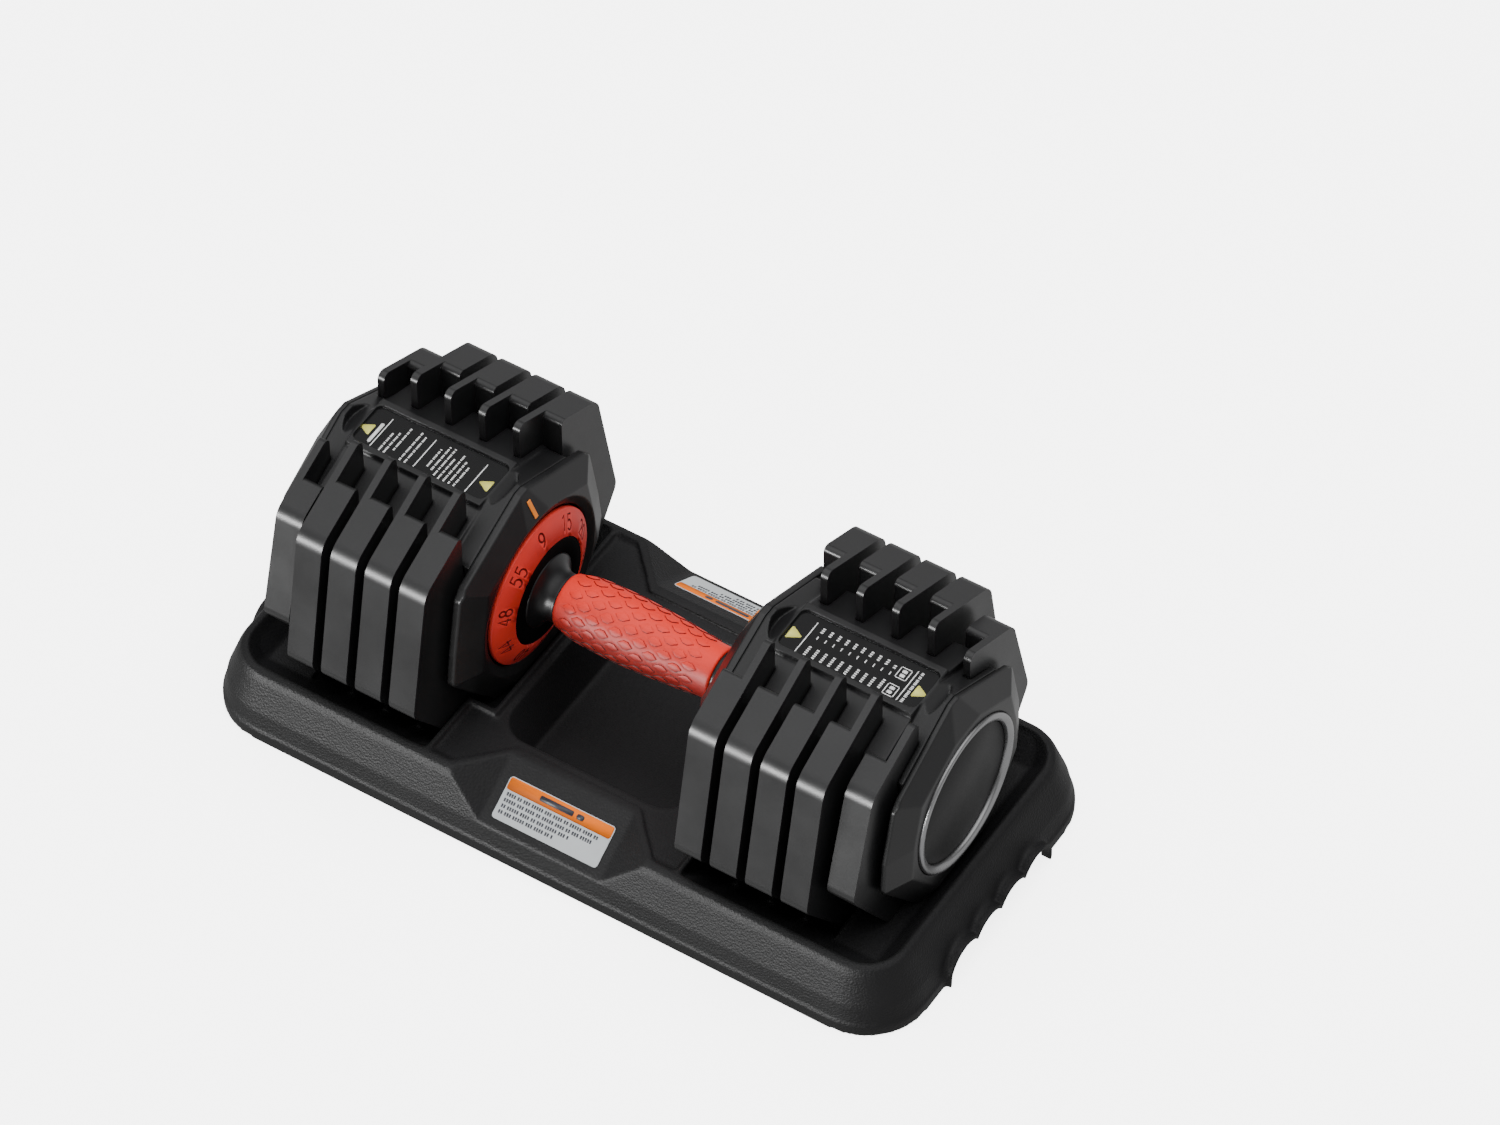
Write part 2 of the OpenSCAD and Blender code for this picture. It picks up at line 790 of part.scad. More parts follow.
tray_shell();
tray_feet();
tray_labels();
left_plate_1();
left_plate_2();
left_plate_3();
left_plate_4();
left_plate_5();
right_plate_1();
right_plate_2();
right_plate_3();
right_plate_4();
right_plate_5();
left_core_1();
left_core_2();
left_core_3();
left_core_4();
left_core_5();
right_core_1();
right_core_2();
right_core_3();
right_core_4();
right_core_5();
left_housing();
right_housing();
left_bridge();
right_bridge();
left_end_cap();
right_end_cap();
left_end_ring();
right_end_ring();
left_end_disc();
right_end_disc();
left_top_label();
right_top_label();
index_marks();
centre_rod();
rod_nuts();
tube_bushes();
cap_screws();
grip();
handle_tube();
left_collar();
right_collar();
left_dial_ring();
right_dial_ring();
left_dial_hub();
right_dial_hub();
left_selector_discs();
right_selector_discs();
disc_spacers();
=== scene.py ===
"""Looks of an adjustable dumbbell in its tray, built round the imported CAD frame."""

import math
from functools import partial

import bmesh
import bpy
from mathutils import Matrix, Vector


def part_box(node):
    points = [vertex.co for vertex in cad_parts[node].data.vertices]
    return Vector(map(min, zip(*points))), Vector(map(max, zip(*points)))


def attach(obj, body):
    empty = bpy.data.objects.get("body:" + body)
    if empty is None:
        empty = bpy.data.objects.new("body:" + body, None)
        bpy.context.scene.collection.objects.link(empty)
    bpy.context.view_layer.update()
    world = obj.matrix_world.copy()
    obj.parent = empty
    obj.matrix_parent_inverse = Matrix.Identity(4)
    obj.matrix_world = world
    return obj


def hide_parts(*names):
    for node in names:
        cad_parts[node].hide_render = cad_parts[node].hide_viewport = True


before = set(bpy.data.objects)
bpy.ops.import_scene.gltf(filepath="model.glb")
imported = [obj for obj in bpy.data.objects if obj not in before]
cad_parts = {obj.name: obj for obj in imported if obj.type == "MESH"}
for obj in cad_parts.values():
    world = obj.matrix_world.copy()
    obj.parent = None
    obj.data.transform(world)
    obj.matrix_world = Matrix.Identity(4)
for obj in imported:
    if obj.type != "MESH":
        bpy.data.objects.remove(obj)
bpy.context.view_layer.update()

# Pieces are drawn in millimetres and turned into metres when they are made.
MM = 0.001
SIDES = {"left": -1, "right": 1}


def span(node, axis):
    """Lowest and highest value of a CAD node along one axis, in millimetres."""
    low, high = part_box(node)
    return low[axis] / MM, high[axis] / MM


# ---- driving dimensions, from the frame ----

AXIS_Z = sum(span("grip", 2)) / 2
GRIP_HX = span("grip", 0)[1]
TUBE_R = span("handle_tube", 1)[1]
HUB_X, DIAL_BACK = span("right_dial_ring", 0)
DIAL_R = span("right_dial_ring", 1)[1]
HUB_BACK = span("right_dial_hub", 0)[1]
HUB_FLANGE_R = span("right_dial_hub", 1)[1]
RING_BACK, RING_X = span("right_end_ring", 0)
RING_R = span("right_end_ring", 1)[1]
DISC_X = span("right_end_disc", 0)[1]

HUB_R = 31.0
DIAL_X = HUB_X + 5.8
DISC_R = 40.2
PLATE_T = 15.75
FLANGE_T = 4.0
# gap between a piece and the part inside it
FIT = 0.05

# ---- materials ----


def new_material(name):
    """A material with its principled shader and output."""
    material = bpy.data.materials.new(name)
    material.use_nodes = True
    nodes = material.node_tree.nodes
    nodes.clear()
    shader = nodes.new("ShaderNodeBsdfPrincipled")
    output = nodes.new("ShaderNodeOutputMaterial")
    material.node_tree.links.new(shader.outputs["BSDF"], output.inputs["Surface"])
    return material, nodes, material.node_tree.links, shader


def noise(nodes, links, scale, detail=4.0, stretch=(1, 1, 1)):
    """Noise in object space; scale is in repeats a metre."""
    place = nodes.new("ShaderNodeTexCoord")
    mapping = nodes.new("ShaderNodeMapping")
    mapping.inputs["Scale"].default_value = stretch
    texture = nodes.new("ShaderNodeTexNoise")
    texture.inputs["Scale"].default_value = scale
    texture.inputs["Detail"].default_value = detail
    texture.inputs["Roughness"].default_value = 0.6
    links.new(place.outputs["Object"], mapping.inputs["Vector"])
    links.new(mapping.outputs["Vector"], texture.inputs["Vector"])
    return texture


def spread(nodes, links, source, low, high):
    """Maps a noise value to a range."""
    scaled = nodes.new("ShaderNodeMapRange")
    scaled.inputs["From Min"].default_value = 0.3
    scaled.inputs["From Max"].default_value = 0.7
    scaled.inputs["To Min"].default_value = low
    scaled.inputs["To Max"].default_value = high
    links.new(source, scaled.inputs["Value"])
    return scaled.outputs["Result"]


def blend_colours(nodes, links, factor, first, second):
    """Mixes two plain colours by a factor."""
    mix = nodes.new("ShaderNodeMix")
    mix.data_type = "RGBA"
    mix.inputs["A"].default_value = (*first, 1)
    mix.inputs["B"].default_value = (*second, 1)
    links.new(factor, mix.inputs["Factor"])
    return mix.outputs["Result"]


def relief(nodes, links, fine, grain, depth, pebbled):
    """Bumps from the fine noise, or from pebbles of the same size roughened by it, as a normal."""
    height = fine.outputs["Fac"]
    if pebbled:
        pebble = nodes.new("ShaderNodeTexVoronoi")
        pebble.feature = "SMOOTH_F1"
        pebble.inputs["Scale"].default_value = grain
        pebble.inputs["Smoothness"].default_value = 0.6
        links.new(fine.inputs["Vector"].links[0].from_socket, pebble.inputs["Vector"])
        join = nodes.new("ShaderNodeMath")
        join.operation = "MULTIPLY_ADD"
        join.inputs[1].default_value = 0.5
        links.new(height, join.inputs[0])
        links.new(pebble.outputs["Distance"], join.inputs[2])
        height = join.outputs["Value"]
    bump = nodes.new("ShaderNodeBump")
    bump.inputs["Strength"].default_value = 1.0
    bump.inputs["Distance"].default_value = depth
    links.new(height, bump.inputs["Height"])
    return bump.outputs["Normal"]


def surface(name, colour, rough, patch, contrast, grain=0, depth=0.0, pebbled=False,
            metal=0.0, specular=0.5, stretch=(1, 1, 1), glow=0.0):
    """A moulded, painted or metal surface.

    colour is the mean colour, patch the size in repeats a metre of its slow unevenness, and
    contrast how strong that is. grain is the repeats a metre of the fine relief, and depth
    the relief's depth in metres.
    """
    material, nodes, links, shader = new_material(name)
    slow = noise(nodes, links, patch, stretch=stretch)
    fine = noise(nodes, links, max(grain, 240), 6.0, stretch)
    share = spread(nodes, links, slow.outputs["Fac"], 0, 1)
    dark = tuple(c * (1 - contrast) for c in colour)
    light = tuple(min(1, c * (1 + contrast)) for c in colour)
    links.new(blend_colours(nodes, links, share, dark, light), shader.inputs["Base Color"])
    worn = nodes.new("ShaderNodeMath")
    worn.operation = "ADD"
    links.new(spread(nodes, links, slow.outputs["Fac"], rough - 0.04, rough + 0.04), worn.inputs[0])
    links.new(spread(nodes, links, fine.outputs["Fac"], -0.03, 0.03), worn.inputs[1])
    links.new(worn.outputs["Value"], shader.inputs["Roughness"])
    shader.inputs["Metallic"].default_value = metal
    shader.inputs["Specular IOR Level"].default_value = specular
    shader.inputs["Emission Color"].default_value = (*colour, 1)
    shader.inputs["Emission Strength"].default_value = glow
    if grain:
        normal = relief(nodes, links, fine, grain, depth, pebbled)
        links.new(normal, shader.inputs["Normal"])
    return material


TRAY = surface("tray_grain", (0.0095, 0.0095, 0.010), rough=0.50, patch=14, contrast=0.15,
               grain=900, depth=0.0002, pebbled=True, specular=0.20)
PLATE = surface("plate_satin", (0.011, 0.011, 0.0115), rough=0.34, patch=22, contrast=0.14,
                grain=1500, depth=0.00001)
HOUSING = surface("housing_satin", (0.009, 0.009, 0.0094), rough=0.36, patch=25, contrast=0.16,
                  grain=1400, depth=0.000012)
BRIDGE = surface("bridge_satin", (0.008, 0.008, 0.0084), rough=0.38, patch=25, contrast=0.16,
                 grain=1400, depth=0.000012, specular=0.45)
CAP_DISC = surface("end_disc_grain", (0.009, 0.009, 0.0094), rough=0.50, patch=30, contrast=0.12,
                   grain=1100, depth=0.00003, specular=0.4)
COLLAR = surface("collar_satin", (0.006, 0.006, 0.0065), rough=0.34, patch=40, contrast=0.15,
                 grain=1200, depth=0.000006, specular=0.4)
HUB = surface("hub_matt", (0.0018, 0.0018, 0.002), rough=0.65, patch=40, contrast=0.15,
              grain=1200, depth=0.00001, specular=0.05)
DIAL_RED = surface("dial_red", (0.70, 0.042, 0.032), rough=0.42, patch=40, contrast=0.06,
                   grain=1500, depth=0.000008, specular=0.35)
# the darker red of the engraved numbers is painted shade, the shadow down in the grooves
DIAL_NUMBER_SHADE = surface("dial_number_painted_shade", (0.10, 0.004, 0.003), rough=0.6, patch=60, contrast=0.1,
                      specular=0.2)
GRIP_RED = surface("grip_red", (0.60, 0.024, 0.014), rough=0.48, patch=50, contrast=0.06,
                   grain=1600, depth=0.000012, specular=0.3)
# the scales' steep sides are dark red as painted shade, standing in for the shadow along them
GRIP_WALL_SHADE = surface("grip_wall_painted_shade", (0.06, 0.003, 0.002), rough=0.6, patch=60, contrast=0.1,
                      specular=0.2)
FILM = surface("label_film", (0.004, 0.004, 0.0043), rough=0.26, patch=30, contrast=0.10,
               specular=0.25)
PRINT = surface("label_print", (0.62, 0.62, 0.62), rough=0.45, patch=200, contrast=0.05)
YELLOW = surface("label_yellow", (0.55, 0.53, 0.12), rough=0.45, patch=120, contrast=0.04)
ORANGE = surface("panel_orange", (0.72, 0.15, 0.006), rough=0.60, patch=60, contrast=0.05,
                 specular=0.08)
STICKER = surface("panel_pale", (0.42, 0.44, 0.45), rough=0.50, patch=60, contrast=0.04,
                  specular=0.2)
INK = surface("panel_ink", (0.03, 0.032, 0.04), rough=0.45, patch=150, contrast=0.15)
INDEX = surface("index_orange", (0.72, 0.20, 0.02), rough=0.40, patch=90, contrast=0.06)
RING_GREY = surface("ring_grey", (0.36, 0.36, 0.365), rough=0.30, patch=40, contrast=0.10,
                    grain=700, depth=0.000006, metal=0.95)
STEEL = surface("steel_brushed", (0.50, 0.51, 0.52), rough=0.28, patch=30, contrast=0.06,
                grain=700, depth=0.000006, metal=1.0, stretch=(0.05, 1, 1))
ZINC = surface("zinc_plate", (0.55, 0.55, 0.53), rough=0.33, patch=60, contrast=0.10,
               grain=500, depth=0.000008, metal=1.0)
IRON = surface("cast_iron", (0.08, 0.08, 0.085), rough=0.62, patch=60, contrast=0.25,
               grain=500, depth=0.00008, metal=0.6)
RUBBER = surface("foot_rubber", (0.010, 0.010, 0.010), rough=0.80, patch=60, contrast=0.15,
                 grain=900, depth=0.00002)
BUSH = surface("bush_nylon", (0.55, 0.52, 0.44), rough=0.45, patch=60, contrast=0.05,
               grain=700, depth=0.00001)

# ---- making pieces ----


def make_piece(name, bm, body, materials, stands_for=()):
    """Turns a bmesh in millimetres into a piece that rides on a body."""
    bmesh.ops.scale(bm, vec=(MM, MM, MM), verts=bm.verts)
    mesh = bpy.data.meshes.new(name)
    bm.to_mesh(mesh)
    bm.free()
    for material in materials:
        mesh.materials.append(material)
    mesh.polygons.foreach_set("use_smooth", [True] * len(mesh.polygons))
    piece = bpy.data.objects.new(name, mesh)
    bpy.context.scene.collection.objects.link(piece)
    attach(piece, body)
    if stands_for:
        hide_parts(*stands_for)
    return piece


def soften_normals(piece, weight, keep_sharp):
    """Shades large faces flat and lets the small faces between them take up the turn."""
    normals = piece.modifiers.new("normals", "WEIGHTED_NORMAL")
    normals.weight = weight
    normals.keep_sharp = keep_sharp


def round_edges(piece, width, segments, clean=False):
    """Rounds a piece's sharp edges by width millimetres; clean first joins up its flat faces."""
    if clean:
        weld = piece.modifiers.new("weld", "WELD")
        weld.merge_threshold = 0.00012
        flat = piece.modifiers.new("flat", "DECIMATE")
        flat.decimate_type = "DISSOLVE"
        flat.angle_limit = math.radians(0.6)
    bevel = piece.modifiers.new("bevel", "BEVEL")
    bevel.width = width * MM
    bevel.segments = segments
    bevel.limit_method = "ANGLE"
    bevel.angle_limit = math.radians(28)
    bevel.miter_outer = "MITER_ARC"
    bevel.use_clamp_overlap = True
    soften_normals(piece, 80, True)


def dress(node, material, width=0.0):
    """Gives a CAD node its material, and edges rounded by width millimetres."""
    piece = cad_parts[node]
    piece.data.materials.clear()
    piece.data.materials.append(material)
    for polygon in piece.data.polygons:
        polygon.use_smooth = True
        polygon.material_index = 0
    if width:
        round_edges(piece, width, 2, clean=True)
    return piece


def mould(node, material, grid, passes):
    """Gives a CAD node its material and the soft edges of a moulding.

    The node is cut up on a grid of so many millimetres, smoothed in a few passes, and thinned
    out again where it is flat.
    """
    piece = dress(node, material)
    remesh = piece.modifiers.new("grid", "REMESH")
    remesh.mode = "VOXEL"
    remesh.voxel_size = grid * MM
    remesh.use_smooth_shade = True
    smooth = piece.modifiers.new("smooth", "SMOOTH")
    smooth.factor = 0.5
    smooth.iterations = passes
    thin = piece.modifiers.new("thin", "DECIMATE")
    thin.ratio = 0.2
    soften_normals(piece, 60, False)


def mirrored(bm, side):
    """Mirrors a mesh to the left end when side is -1, and sets its faces outwards."""
    if side < 0:
        bmesh.ops.scale(bm, vec=(-1, 1, 1), verts=bm.verts)
    bmesh.ops.recalc_face_normals(bm, faces=bm.faces)
    return bm


def lathe(profile, side, steps=128):
    """Turns a closed outline of (radius, x) points about the handle axis."""
    bm = bmesh.new()
    rings = []
    for i in range(steps):
        a = 2 * math.pi * i / steps
        rings.append([bm.verts.new((x, r * math.sin(a), AXIS_Z + r * math.cos(a))) for r, x in profile])
    for i in range(steps):
        near, far = rings[i], rings[(i + 1) % steps]
        for j in range(len(profile)):
            k = (j + 1) % len(profile)
            bm.faces.new((near[j], near[k], far[k], far[j]))
    bmesh.ops.remove_doubles(bm, verts=bm.verts, dist=1e-4)
    return mirrored(bm, side)


def arc(cx, cy, r, start, end, steps):
    """Points on an arc, angles in degrees."""
    points = []
    for i in range(steps + 1):
        a = math.radians(start + (end - start) * i / steps)
        points.append((cx + r * math.cos(a), cy + r * math.sin(a)))
    return points


def rounded_chain(corners):
    """A chain of (y, z, radius) corners as points, its inner corners rounded."""
    points = [corners[0][:2]]
    for before, corner, after in zip(corners, corners[1:], corners[2:]):
        p = Vector(corner[:2])
        u = (Vector(before[:2]) - p).normalized()
        v = (Vector(after[:2]) - p).normalized()
        half = u.angle(v) / 2
        reach = corner[2] / math.tan(half)
        centre = p + (u + v).normalized() * corner[2] / math.sin(half)
        first, last = p + u * reach, p + v * reach
        start = math.atan2(first.y - centre.y, first.x - centre.x)
        sweep = math.atan2(last.y - centre.y, last.x - centre.x) - start
        sweep = (sweep + math.pi) % (2 * math.pi) - math.pi
        steps = max(2, round(abs(sweep) / math.radians(5)))
        end = math.degrees(start + sweep)
        points += arc(centre.x, centre.y, corner[2], math.degrees(start), end, steps)
    points.append(corners[-1][:2])
    return points


# ---- weight plates ----

WIDE_SLOT = 46.3
WIDE_SLOT_R = 41.0
FLANGE_SLOT = 24.7
TOP_SLOPE = 0.445
SLOT_BEND_Z = 50.0
SHOULDER_END_R = 3.0
TIP_R = 4.0
# corners as (y, height over the axis, corner radius)
BIG = {"shoulder": (80, 60.5, 13), "side": (95.7, -20, 9), "foot": (54.2, -76, 9)}
SMALL = {"shoulder": (68, 55, 12), "side": (85.5, -8, 9), "foot": (50, -62, 9)}
PLATE_COUNT = 5

# the lug low on the flange that the selector lip carries
LUG_START = 6.5
LUG_WIDTH = 12
LUG_HEIGHT = 5
LUG_DROP = 28.5


def across(points):
    """The mirror image of a chain on the other side of the slot, in reverse order."""
    return [(-y, z) for y, z in reversed(points)]


def plate_mesh(x0, shape):
    """A U-shaped plate: a thick body to the shoulders, and a thin flange that goes on to the tips."""
    sy, sz, _ = shape["shoulder"]

    def roof(y):
        return sz + (sy - y) * TOP_SLOPE

    right = [shape["shoulder"], shape["side"], shape["foot"]]
    left = [(-y, z, r) for y, z, r in reversed(right)]
    ridge = (WIDE_SLOT, roof(WIDE_SLOT), 0)
    shoulder_end = (*ridge[:2], SHOULDER_END_R)
    shoulder = rounded_chain([(WIDE_SLOT, SLOT_BEND_Z, 0), shoulder_end, (sy, sz, 0)])[:-1]
    tip = rounded_chain([(FLANGE_SLOT, 0, 0), (FLANGE_SLOT, roof(FLANGE_SLOT), TIP_R), ridge])[:-1]
    around = rounded_chain([ridge, *right, *left, (-WIDE_SLOT, ridge[1], 0)])[1:-1]
    shared = [shoulder[-1], *around, across(shoulder)[0]]
    wide = [*across(shoulder)[1:], *arc(0, 0, WIDE_SLOT_R, 180, 360, 32), *shoulder[:-1]]
    narrow = [*across(tip), *arc(0, 0, FLANGE_SLOT, 180, 360, 24)[1:-1], *tip]
    x1, x2 = x0 + PLATE_T - FLANGE_T, x0 + PLATE_T
    bm = bmesh.new()

    def row(points, x):
        return [bm.verts.new((x, y, AXIS_Z + z)) for y, z in points]

    def strip(a, b):
        for i in range(len(a) - 1):
            bm.faces.new((a[i], a[i + 1], b[i + 1], b[i]))

    out0, out1, out2 = row(shared, x0), row(shared, x1), row(shared, x2)
    wide0, wide1 = row(wide, x0), row(wide, x1)
    narrow1, narrow2 = row(narrow, x1), row(narrow, x2)
    strip(out0, out1)
    strip(out1, out2)
    strip([out0[-1], *wide0, out0[0]], [out1[-1], *wide1, out1[0]])
    strip([out1[-1], *narrow1, out1[0]], [out2[-1], *narrow2, out2[0]])
    bm.faces.new([*out0, *wide0])
    bm.faces.new([*out2, *narrow2])
    bm.faces.new([out1[-1], *narrow1, out1[0], *reversed(wide1)])
    return bm


def add_lug(bm, x0):
    """Adds the lug to a plate that starts at x0."""
    made = bmesh.ops.create_cube(bm, size=1)["verts"]
    bmesh.ops.scale(bm, vec=(PLATE_T - LUG_START, LUG_WIDTH, LUG_HEIGHT), verts=made)
    middle = x0 + (PLATE_T + LUG_START) / 2
    bmesh.ops.translate(bm, vec=(middle, 0, AXIS_Z - LUG_DROP), verts=made)


def build_plates():
    """The moulded cover of each plate, and its iron core from the frame."""
    for end, side in SIDES.items():
        for k in range(1, PLATE_COUNT + 1):
            node = f"{end}_plate_{k}"
            x0 = min(abs(x) for x in span(node, 0))
            bm = plate_mesh(x0, SMALL if k == PLATE_COUNT else BIG)
            add_lug(bm, x0)
            bm = mirrored(bm, side)
            piece = make_piece(f"{node}_cover", bm, f"{end}_weight_{k}", [PLATE], [node])
            round_edges(piece, 1.5, 4)
            dress(f"{end}_core_{k}", IRON, 0.6)


# ---- grip ----

SCALE_ROWS = 26
SCALE_COLUMNS = 4
SCALE_PITCH = 14.5
SCALE_MIDDLE = -1.4
SCALE_HALF = (4.25, 2.1)
SCALE_FLAT = 0.66
# scales are raised out to this many pitches from the middle
RAISED_REACH = 2.6
# radius where distances round the grip are measured
SCALE_R = 17.4
ROW_ANGLE = 2 * math.pi / SCALE_ROWS
ROW_MM = ROW_ANGLE * SCALE_R
# grip radius at places along the handle
GRIP_SHAPE = [(-47.6, 15.0), (-36, 17.2), (-22, 18.0), (-10, 18.2), (4, 17.7), (16, 17.0),
              (29, 15.9), (40, 15.1), (47.6, 15.0)]
GRIP_CUT_X = GRIP_HX - 1.5
# the grip's end from its cut to the tube, as (x, radius)
GRIP_END = ((GRIP_HX - 0.7, 14.85), (GRIP_HX - 0.2, 14.4), (GRIP_HX, 13.7), (GRIP_HX, TUBE_R + 1.05))


def grip_radius(x):
    """The grip's radius at x, on a smooth curve through its shape."""
    points = GRIP_SHAPE
    if x <= points[0][0]:
        return points[0][1]
    if x >= points[-1][0]:
        return points[-1][1]
    i = max(n for n, p in enumerate(points) if p[0] <= x)
    (xa, ra), (xb, rb) = points[i], points[i + 1]
    before = points[i - 1] if i else points[i]
    after = points[i + 2] if i + 2 < len(points) else points[i + 1]
    ma = (rb - before[1]) / (xb - before[0]) * (xb - xa)
    mb = (after[1] - ra) / (after[0] - xa) * (xb - xa)
    t = (x - xa) / (xb - xa)
    return ((2 * t**3 - 3 * t**2 + 1) * ra + (t**3 - 2 * t**2 + t) * ma
            + (3 * t**2 - 2 * t**3) * rb + (t**3 - t**2) * mb)


def scale_outline(half_x, half_s, flat, steps=6):
    """An elongated hexagon in (x, distance round the grip); flat is where its long sides begin."""
    out = [(half_x * (1 - i / steps), half_s * min(1, i / steps / flat)) for i in range(steps)]
    back = [(half_x * i / steps, half_s * min(1, (1 - i / steps) / flat)) for i in range(steps)]
    points = []
    for sx, ss, quarter in ((1, 1, out), (-1, 1, back), (-1, -1, out), (1, -1, back)):
        points += [(sx * x, ss * s) for x, s in quarter]
    return points


def on_grip(bm, x, s, lift):
    """A vertex lifted off the barrel at x, and s millimetres round it from the front."""
    r = grip_radius(x) + lift
    a = s / ROW_MM * ROW_ANGLE
    return bm.verts.new((x, -r * math.cos(a), AXIS_Z + r * math.sin(a)))


def add_cell(bm, cell, levels, xc, sc):
    """Fills one cell with levels of (outline, lift, material), each inside the one before."""
    last = [on_grip(bm, xc + dx, sc + ds, 0.0) for dx, ds in cell]
    for outline, lift, material in levels:
        now = [on_grip(bm, xc + dx, sc + ds, lift) for dx, ds in outline]
        for i in range(len(now)):
            k = (i + 1) % len(now)
            bm.faces.new((last[i], last[k], now[k], now[i])).material_index = material
        last = now
    top = on_grip(bm, xc, sc, levels[-1][1])
    for i in range(len(last)):
        bm.faces.new((last[i], last[(i + 1) % len(last)], top))


def close_grip(bm):
    """Cuts the barrel off square and turns both its ends in to the tube."""
    for side in (-1, 1):
        geometry = [*bm.verts, *bm.edges, *bm.faces]
        bmesh.ops.bisect_plane(bm, geom=geometry, dist=1e-5, clear_outer=True,
                               plane_co=(side * GRIP_CUT_X, 0, AXIS_Z), plane_no=(side, 0, 0))
    for side in (-1, 1):
        rim = [e for e in bm.edges if e.is_boundary and e.verts[0].co.x * side > GRIP_CUT_X - 0.01]
        for x, r in GRIP_END:
            made = bmesh.ops.extrude_edge_only(bm, edges=rim)["geom"]
            rim = [g for g in made if isinstance(g, bmesh.types.BMEdge)]
            for vert in {v for g in rim for v in g.verts}:
                out = Vector((0, vert.co.y, vert.co.z - AXIS_Z)).normalized() * r
                vert.co = (side * x, out.y, AXIS_Z + out.z)
    bmesh.ops.bridge_loops(bm, edges=[e for e in bm.edges if e.is_boundary])
    bmesh.ops.recalc_face_normals(bm, faces=bm.faces)


def build_grip():
    """The barrel, with a raised scale in each cell of a diamond lattice, its steep sides dark with
    painted shade.
    """
    half_x, half_s = SCALE_HALF
    cell = scale_outline(SCALE_PITCH / 2, ROW_MM, 1.0)
    plain = [([(x * 0.5, s * 0.5) for x, s in cell], 0.0, 0)]
    raised = [
        (scale_outline(half_x + 0.40, half_s + 0.30, SCALE_FLAT), 0.0, 0),
        (scale_outline(half_x + 0.10, half_s + 0.08, SCALE_FLAT), -0.06, 0),
        # the steep wall up to the scale's top carries the painted shade
        (scale_outline(half_x, half_s, SCALE_FLAT), 0.50, 1),
        (scale_outline(half_x - 0.22, half_s - 0.16, SCALE_FLAT), 0.56, 0),
    ]
    bm = bmesh.new()
    for row in range(SCALE_ROWS):
        for column in range(-SCALE_COLUMNS, SCALE_COLUMNS + 1):
            off_middle = (column + (row % 2) / 2) * SCALE_PITCH
            levels = raised if abs(off_middle) < RAISED_REACH * SCALE_PITCH else plain
            add_cell(bm, cell, levels, SCALE_MIDDLE + off_middle, row * ROW_MM)
    bmesh.ops.remove_doubles(bm, verts=bm.verts, dist=1e-3)
    close_grip(bm)
    make_piece("grip_barrel", bm, "handle", [GRIP_RED, GRIP_WALL_SHADE], ["grip"])


# ---- dials ----

SETTINGS = [9, 15, 20, 26, 30, 35, 40, 44, 48, 55]
SETTING_ANGLE = math.radians(36)
NUMBER_RADIUS = 37.9
NUMBER_HEIGHT = 7.6
STROKE_R = 0.62
# how far over the dial's face the middle of a stroke lies
STROKE_RISE = 0.1
DIAL_CHAMFER = 0.5
# a digit's width and the step to the next one, in digit heights
DIGIT_WIDTH = 0.56
DIGIT_PITCH = 0.78

# the collar's radius where its flare begins, how much it grows, and how late
FLARE_R = 13.9
FLARE_GROWTH = 8.1
FLARE_POWER = 3.2
FLARE_STEPS = 14


def oval(cx, cy, rx, ry, start=0, end=360, steps=14):
    """Points on an oval, angles in degrees."""
    angles = [math.radians(start + (end - start) * i / steps) for i in range(steps + 1)]
    return [(cx + rx * math.cos(a), cy + ry * math.sin(a)) for a in angles]


# Strokes of each digit in a box DIGIT_WIDTH wide and 1 high.
DIGITS = {
    "0": [oval(0.28, 0.5, 0.26, 0.5, steps=20)],
    "1": [[(0.10, 0.80), (0.32, 1.0), (0.32, 0.0)]],
    "2": [[*oval(0.28, 0.72, 0.26, 0.28, 165, -35, 10), (0.02, 0.0), (0.56, 0.0)]],
    "3": [oval(0.26, 0.76, 0.24, 0.24, 150, -90, 10), oval(0.26, 0.26, 0.28, 0.26, 90, -150, 12)],
    "4": [[(0.42, 0.0), (0.42, 1.0), (0.0, 0.28), (0.58, 0.28)]],
    "5": [[(0.52, 1.0), (0.10, 1.0), (0.06, 0.56), *oval(0.26, 0.32, 0.28, 0.32, 115, -145, 12)]],
    "6": [oval(0.28, 0.30, 0.26, 0.30, steps=18), oval(0.60, 0.30, 0.58, 0.68, 180, 105, 8)],
    "8": [oval(0.28, 0.76, 0.22, 0.24, steps=18), oval(0.28, 0.27, 0.27, 0.27, steps=18)],
    "9": [oval(0.28, 0.70, 0.26, 0.30, steps=18), oval(-0.04, 0.70, 0.58, 0.68, 0, -75, 8)],
}


def dial_face(r):
    """Distance from the middle of the handle to the conical face of a dial ring at radius r."""
    return HUB_X + (r - HUB_R) * (DIAL_X - HUB_X) / (DIAL_R - DIAL_CHAMFER - HUB_R)


def on_dial(side, angle, u, v):
    """A point on a dial: u across from a number's middle and v up from its foot, in digit heights."""
    r = NUMBER_RADIUS + (v - 0.5) * NUMBER_HEIGHT
    out = Vector((0, math.sin(angle), math.cos(angle)))
    along = Vector((0, math.cos(angle), -math.sin(angle))) * -side
    foot = Vector((side * (dial_face(r) - STROKE_RISE), 0, AXIS_Z))
    return foot + out * r + along * u * NUMBER_HEIGHT


def add_stroke(curve, points):
    """Adds a stroke to the curve, as a closed one when its ends meet."""
    closed = math.dist(points[0], points[-1]) < 1e-3
    if closed:
        points = points[:-1]
    spline = curve.splines.new("POLY")
    spline.points.add(len(points) - 1)
    spline.use_cyclic_u = closed
    for point, place in zip(spline.points, points):
        point.co = (*(place * MM), 1)


def settled_mesh(thing):
    """A new mesh of an object as its curve bevel or modifiers leave it."""
    bpy.context.view_layer.update()
    return bpy.data.meshes.new_from_object(thing.evaluated_get(bpy.context.evaluated_depsgraph_get()))


